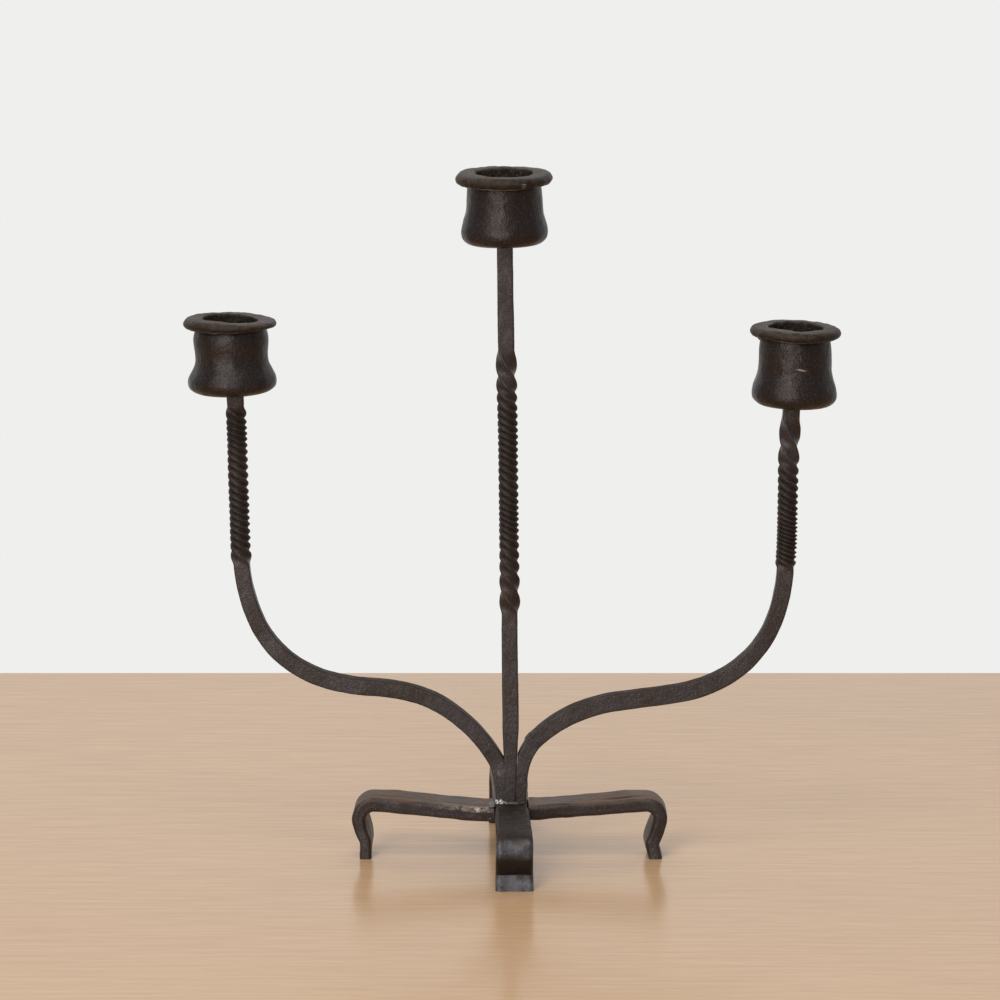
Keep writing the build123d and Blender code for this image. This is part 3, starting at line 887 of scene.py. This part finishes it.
def braze(side, lumps, seed):
    """A bead round the cup's neck; lumps are (degrees round it, extra size)."""
    height, neck, shift = CUPS[side]["keys"][-1]
    angle = np.linspace(0, 2 * np.pi, 220, endpoint=False)
    origin, axis, sideways, out = seat_frame(side, angle)
    size = 0.6 + 0.12 * ripple(out * 15, 9, seed)
    for where, amount in lumps:
        size = size + amount * bell(np.degrees(angle), where, 9)
    line = origin + shift * sideways + (height - 0.35) * axis + out * (neck + 0.1)
    return bead(f"{side}_ring_bead", line, size, seed, f"{side}_ring_braze",
                {"lump": (size[:, None] > 1.1) * 1.0})


brazes = {"centre": braze("centre", [(250, 0.3)], 91),
          "left": braze("left", [(285, 0.35)], 92),
          "right": braze("right", [(190, 0.9), (300, 0.3)], 93)}

around = np.linspace(0, 2 * np.pi, 240, endpoint=False)
foot_half = np.array([5.15, 3.35])
circle = np.stack([np.cos(around), np.sin(around)], -1)
square = np.sign(circle) * np.abs(circle) ** 0.35 * foot_half    # a low power squares a circle
line = np.concatenate([square, np.full((240, 1), base_top + 0.25)], 1)
bead_size = 0.75 + 0.14 * np.cos(around * 26) + 0.15 * ripple(line, 6, 97)
silver = (bell(line[:, 0], -4.6, 1.3) + 0.1 * bell(line[:, 0], -1.5, 1.5)) * (line[:, 1] < -2)
foot_weld = bead("foot_weld", line, bead_size, 95, "stem_foot_weld",
                 {"bare_metal_and_highlight": np.clip(silver, 0, 1)[:, None]})


def lump(name, middle, size, seed, bare_metal_and_highlight):
    """A squashed ball whose surface is pushed in and out by waves, for drops of weld and for a dark patch
    of painted shade.
    """
    down = np.linspace(0.02, np.pi - 0.02, 26)
    angle = np.linspace(0, 2 * np.pi, 40, endpoint=False)
    ball = np.stack([np.sin(down)[:, None] * np.cos(angle), np.sin(down)[:, None] * np.sin(angle),
                     np.broadcast_to(np.cos(down)[:, None], (26, 40))], -1)
    rings = np.array(middle) + ball * np.array(size) * (1 + 0.22 * ripple(ball, 1.1, seed))[..., None]
    return skin(name, rings, {"bare_metal_and_highlight": np.full((26, 1), bare_metal_and_highlight)})


lumps = [lump("weld_drop", (-4.9, -3.9, base_top + 0.9), (1.7, 1.2, 1.2), 101, 1.0),
         lump("weld_bridge", (-7.6, -2.2, base_top - 0.5), (1.7, 4.6, 0.75), 102, 0.15),
         # A dark lump put in the gap of the halving, as painted shade.
         lump("notch_shade_lump", (-8.4, -7.1, base_top - 5.0), (1.2, 0.7, 1.3), 103, 0.0)]

# %% [markdown]
# ## Finishes
#
# The iron was blackened and waxed. Close up it is not black: it drifts between brown and blue
# grey, it is peppered with lighter specks of scale, and corners that hands and cloths reach are
# rubbed towards bare metal. Some masks paint light and shade into the colour as well: highlights
# along some edges and bends, shade in creases and folds, on some upward faces, under the front
# foot's bend and on the cups' undersides, and a warm reflection on inner faces. A painted image
# could show all that, but would need unwrapping and would blur close up. So each of those is a
# mask, made of noise or of a mark that the mesh carries, and the colour, the gloss and the fine
# relief are formulas on the same masks.


# %% Screen colours
def rgb(red, green, painted_highlight):
    """A screen colour, 0 to 255, as linear light for a colour socket."""
    c = np.array([red, green, painted_highlight]) / 255
    c = np.where(c <= 0.04045, c / 12.92, ((c + 0.055) / 1.055) ** 2.4)
    return (*c.tolist(), 1.0)


WAX_SHEEN = 0.33    # wax reflects a little less than glass does
print("dark iron in linear light:", [round(v, 4) for v in rgb(42, 35, 33)])

# %% [markdown]
# ## Bar iron
#
# The bars carry most of the wear. Their upper faces have rusted a little under the wax. Painted
# shade darkens the creases and grooves of the twists, the upward faces of the straight stretches
# and the front foot's top and the face under its bend, a painted highlight lightens that foot's
# bend and toe, and wax has pooled on and under its bend. A warm painted reflection lies on the
# legs' inner faces. The masks are laid over each other in turn.


# %% Iron of the bars
def bar_iron():
    """Dark iron under layers: specks, rust on top, a warm tint partly painted light, worn corners, painted
    highlights, dirt and painted shade, metal.
    """
    f = Finish("blackened_bar_iron")
    drift = f.noise(16).ease(0.38, 0.64)
    speck = f.noise(0.56, 3, 0.6).ease(0.52, 0.70)
    scale = f.noise(2.2, 4, 0.65)
    edge = f.mark("edge") * f.noise(5).ease(0.42, 0.62)
    bare_metal_and_highlight = f.mark("bare_metal_and_highlight") * f.noise(1.8, 3, 0.7).ease(0.38, 0.62)
    brown_and_painted_light = f.mark("brown_and_painted_light") * f.noise(6).ease(0.25, 0.55)
    rust = f.mark("upper") * f.noise(7, 6, 0.75, (0.7, 1, 1)).ease(0.42, 0.60)
    painted_highlight = f.mark("painted_highlight") * f.noise(4).ease(0.30, 0.60)
    dirt_and_painted_shade = f.mark("dirt_and_painted_shade")
    colour = f.coats(f.mix(drift, rgb(42, 35, 33), rgb(52, 48, 50)),
                     (speck * (0.35 - 0.3 * f.mark("painted_highlight")), rgb(112, 106, 106)),
                     (f.mark("upper") * 0.6, rgb(42, 26, 16)),
                     (rust * 0.85, rgb(106, 76, 55)),
                     # Brown tone of the twists, warm painted reflection on inner faces, painted shade on
                     # the front foot
                     (brown_and_painted_light * 0.8, rgb(38, 26, 19)),
                     (edge * 0.3, rgb(74, 60, 50)),
                     # Painted highlight on the front foot's bend and toe
                     (painted_highlight * 0.6, rgb(92, 95, 102)),
                     # Dark streaks, and painted shade in creases, folds, upward faces and the front foot
                     (dirt_and_painted_shade * 0.9, rgb(11, 6, 4)),
                     # Metal showing through, and painted highlights along edges
                     (bare_metal_and_highlight * 0.7, rgb(180, 170, 158)))
    relief = scale * 0.6 + f.noise(0.7, 3, 0.6) * 0.5
    relief = relief + f.noise(7, 3, 0.6) * (0.8 + 1.4 * f.mark("upper"))
    gloss = 0.42 - 0.06 * edge - 0.10 * bare_metal_and_highlight + 0.08 * (1 - drift) - 0.12 * scale + 0.25 * dirt_and_painted_shade + 0.2 * rust
    return f.wear({
        "Base Color": colour,
        "Metallic": 0.6 * bare_metal_and_highlight,
        "Specular IOR Level": WAX_SHEEN,
        "Specular Tint": (1.0, 0.92, 0.86, 1.0),
        "Roughness": gloss - 0.2 * painted_highlight - 0.38 * f.mark("wax"),
        "Normal": f.bump(relief, 0.9, 0.3),
    })


bars_finish = bar_iron()
print("finish:", bars_finish.name)

# %% [markdown]
# ## Cup iron
#
# The cups are smoother, darker and browner than the bars, with faint upright brush marks. Their
# rings are rougher, blotched and rusty on top, and the wax is dull inside the bores. One finish
# does for both, because the rings carry a mark of their own.
# The cups' undersides are painted in shade towards the bar, and a painted highlight runs along the lower
# front edge of each ring.


# %% Iron of the cups
def cup_iron():
    """Dark iron under layers: flecks, the rings' blotches and rust, the bore's dust, painted shade under
    the cup, metal and painted highlights.
    """
    f = Finish("waxed_cup_iron")
    drift = f.noise(13).ease(0.36, 0.64)
    fleck = f.noise(0.6, 3, 0.65).ease(0.50, 0.72)
    brush = f.noise(1.1, 2, 0.5, (1, 1, 0.06))
    scale = f.noise(2.6, 4, 0.65)
    inside, rim, bare_metal_and_highlight = f.mark("inside"), f.mark("rim"), f.mark("bare_metal_and_highlight")
    edge = f.mark("edge") * f.noise(4).ease(0.45, 0.60)
    rust = f.mark("upper") * f.noise(3, 6, 0.75).ease(0.36, 0.62)
    blotch = rim * f.noise(2.5, 6, 0.75).ease(0.46, 0.60)
    colour = f.coats(f.mix(drift, rgb(26, 18, 16), rgb(25, 22, 22)),
                     (fleck * 0.3, rgb(104, 95, 94)),
                     (rim * 0.8, rgb(14, 10, 8)),
                     (blotch * 0.5, rgb(52, 42, 34)),
                     (rust * 0.6, rgb(84, 68, 52)),
                     (inside * f.noise(1.1, 3, 0.7).ease(0.54, 0.68), rgb(84, 72, 58)),
                     (edge * 0.3, rgb(96, 88, 80)),
                     # Painted shade under the cup
                     (f.mark("foot") * 0.8, rgb(11, 8, 7)),
                     # A scratch on the right cup, a white spot on the centre ring, and painted highlights
                     # on the rings
                     (bare_metal_and_highlight, rgb(214, 208, 200)))
    relief = scale * (0.5 + 1.5 * rim) + f.noise(0.7, 3, 0.6) * (0.65 + 0.3 * rim)
    relief = relief + f.noise(8, 2) * 0.6 + brush * 0.3
    gloss = 0.345 + 0.10 * (1 - drift) - 0.10 * scale + 0.25 * inside - 0.05 * edge
    gloss = gloss + 0.12 * rim + 0.15 * rust
    return f.wear({
        "Base Color": colour,
        "Specular IOR Level": WAX_SHEEN,
        "Specular Tint": (1.0, 0.86, 0.80, 1.0),
        "Roughness": gloss,
        "Normal": f.bump(relief, 0.9, 0.3),
    })


cups_finish = cup_iron()
print("finish:", cups_finish.name)

# %% [markdown]
# ## Weld and braze
#
# Weld is dull grey-brown where it is old and silver where it spattered and was never blackened.
# The braze is kept dark brown as painted shade in the corner under each ring, and only its largest
# lump still shows the colour of the metal.


# %% Weld and braze metal
def weld_iron():
    """Cloudy dark grey with a warm cast, turned to silver in patches where the mark says so."""
    f = Finish("weld_iron")
    bare_metal_and_highlight = f.mark("bare_metal_and_highlight")
    patch = f.noise(0.9, 3, 0.6).ease(0.40, 0.62)
    colour = f.mix(f.noise(2), rgb(34, 28, 24), rgb(62, 60, 52))
    colour = f.mix(bare_metal_and_highlight * patch, colour, rgb(226, 222, 214))
    return f.wear({
        "Base Color": colour,
        "Metallic": 0.6 * bare_metal_and_highlight * patch,
        "Roughness": 0.5 - 0.2 * bare_metal_and_highlight,
        "Normal": f.bump(f.noise(0.6), 0.7, 0.2),
    })


def braze_painted_shade():
    """Two dark browns in clouds, painted as the shade under the ring, and a lighter one on the lump."""
    f = Finish("braze_painted_shade")
    # Painted shade: the bead is dark as the corner under the ring.
    colour = f.mix(f.noise(1.5).ease(0.35, 0.65), rgb(20, 15, 13), rgb(34, 29, 26))
    colour = f.mix(f.mark("lump") * 0.9, colour, rgb(104, 84, 62))
    return f.wear({
        "Base Color": colour,
        "Roughness": 0.5 + 0.2 * f.noise(3, 2),
        "Specular IOR Level": 0.25,
        "Normal": f.bump(f.noise(0.7), 0.6, 0.2),
    })


for finish, pieces in ((bars_finish, [stem, *arms.values(), side_bar, cross_bar]),
                       (cups_finish, [*cups.values(), *rims.values()]),
                       (weld_iron(), [foot_weld, *lumps]),
                       (braze_painted_shade(), brazes.values())):
    for piece in pieces:
        piece.data.materials.append(finish)
    print(finish.name, "is on", [piece.name for piece in pieces])

# %% [markdown]
# ## Table
#
# The piece stands on a plain pale table top that ends a little way behind it, in front of a
# white wall. It is polished enough to show a soft reflection of the feet. One face is enough for
# it, since nothing is seen from below, and its faint grain is noise stretched from side to side.

# %% Table top
TABLE_FRONT, TABLE_BACK, HALF_WIDTH = -3000, 364, 3000
table = bpy.data.meshes.new("table_top")
corners = [(-HALF_WIDTH, TABLE_FRONT), (HALF_WIDTH, TABLE_FRONT), (HALF_WIDTH, TABLE_BACK),
           (-HALF_WIDTH, TABLE_BACK)]
table.from_pydata([(x * MM, y * MM, 0) for x, y in corners], [], [(0, 1, 2, 3)])
floor = bpy.data.objects.new("table_top", table)
scene.collection.objects.link(floor)
f = Finish("pale_table")
grain = f.noise(3, 6, 0.8, (0.06, 1, 1)).ease(0.2, 0.8)
table.materials.append(f.wear({
    "Base Color": f.mix(grain, rgb(200, 160, 119), rgb(223, 183, 141)),
    "Roughness": 0.2,
    "Specular IOR Level": 0.4,
}))
print("table top reaches", TABLE_BACK, "mm behind the crossing")

# %% [markdown]
# ## Lamps
#
# Dark waxed iron shows its shape mostly by what it reflects, so the lamps are wide panels. One
# stands high in front and to the left and one low beside it, which draw the upright highlights
# on the cups. A small one overhead lights the upper faces, and a wide weak one behind keeps the
# back of the table as bright as its front.


# %% Soft lamps
def lamp(name, place, across, high, power):
    """A soft rectangular lamp whose face is turned to the middle of the piece."""
    light = bpy.data.lights.new(name, "AREA")
    light.shape, light.size, light.size_y, light.energy = "RECTANGLE", across, high, power
    holder = bpy.data.objects.new(name, light)
    scene.collection.objects.link(holder)
    holder.location = place
    toward = unit(np.array([0, 0, 0.12]) - place)
    holder.rotation_euler = (np.arccos(-toward[2]), 0, np.arctan2(toward[1], toward[0]) - np.pi / 2)


lamp("front_lamp", (-1.0, -2.4, 1.9), 1.2, 1.3, 28)
lamp("low_lamp", (-1.0, -2.9, 0.5), 0.9, 1.1, 31)
lamp("top_lamp", (-0.2, -0.95, 2.1), 1.0, 0.5, 11)
lamp("back_lamp", (0, 1.5, 1.7), 3.6, 1.4, 11)

print("lamps:", [(light.name, round(light.energy)) for light in bpy.data.lights])

# %% [markdown]
# ## Wall
#
# The wall is the world's own colour where the camera sees it. A wall object would do as well, but
# would throw its own light and shade on the table. The light that the world gives to the iron
# is dimmer than that, and grows from front to back, as in a room whose back wall is white.

# %% White wall
world = bpy.data.worlds.new("white_wall")
scene.world = world
world.use_nodes = True
nodes, links = world.node_tree.nodes, world.node_tree.links
seen, lit = nodes["Background"], nodes.new("ShaderNodeBackground")
seen.inputs["Color"].default_value = rgb(239, 239, 238)
heading, parts, back = (nodes.new(kind) for kind in
                        ("ShaderNodeTexCoord", "ShaderNodeSeparateXYZ", "ShaderNodeMapRange"))
back.interpolation_type = "SMOOTHSTEP"
for key, value in (("From Min", 0.30), ("From Max", 0.80), ("To Min", 0.40), ("To Max", 0.92)):
    back.inputs[key].default_value = value
links.new(heading.outputs["Generated"], parts.inputs[0])
links.new(parts.outputs["Y"], back.inputs["Value"])
links.new(back.outputs[0], lit.inputs["Strength"])
blend, path = nodes.new("ShaderNodeMixShader"), nodes.new("ShaderNodeLightPath")
links.new(path.outputs["Is Camera Ray"], blend.inputs[0])
links.new(lit.outputs[0], blend.inputs[1])
links.new(seen.outputs[0], blend.inputs[2])
links.new(blend.outputs[0], nodes["World Output"].inputs["Surface"])
scene.view_settings.view_transform = "Standard"
print("the wall is ready")
